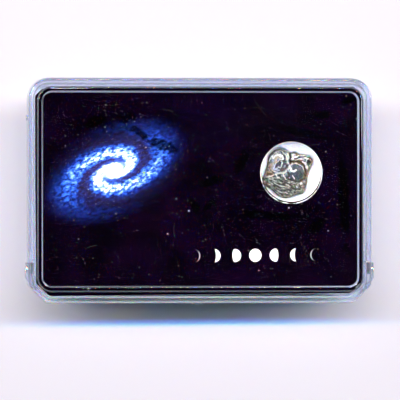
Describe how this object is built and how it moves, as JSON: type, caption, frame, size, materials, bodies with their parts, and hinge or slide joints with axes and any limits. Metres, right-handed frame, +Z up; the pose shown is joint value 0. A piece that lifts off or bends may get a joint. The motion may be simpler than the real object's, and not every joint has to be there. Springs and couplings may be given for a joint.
{
  "type": "iron meteorite",
  "caption": "Iron meteorite nugget held in a foam pocket behind a dark card with a punched hole, in a small clear hinged display box.",
  "frame": {"origin": "middle of the box on the surface that its foot ring stands on", "axes": "+X to the right along the box's long side, +Y from the hinge side towards the opening front, +Z up out of the lid"},
  "size_m": [0.056, 0.0366, 0.014],
  "materials": {
    "clear_polystyrene": "gloss",
    "clear_polystyrene_lid": "gloss",
    "white_foam": "matte",
    "printed_card": "satin",
    "etched_iron": "satin"
  },
  "bodies": {
    "box": {"box_base": "clear_polystyrene", "foam_insert": "white_foam", "printed_card": "printed_card", "meteorite": "etched_iron"},
    "lid": {"box_lid": "clear_polystyrene_lid"}
  },
  "joints": [
    {"name": "lid_hinge", "type": "hinge", "parent": "box", "child": "lid", "pos_m": [0, -0.0146, 0.0044], "axis": [1, 0, 0], "range_deg": [0, 95]}
  ]
}
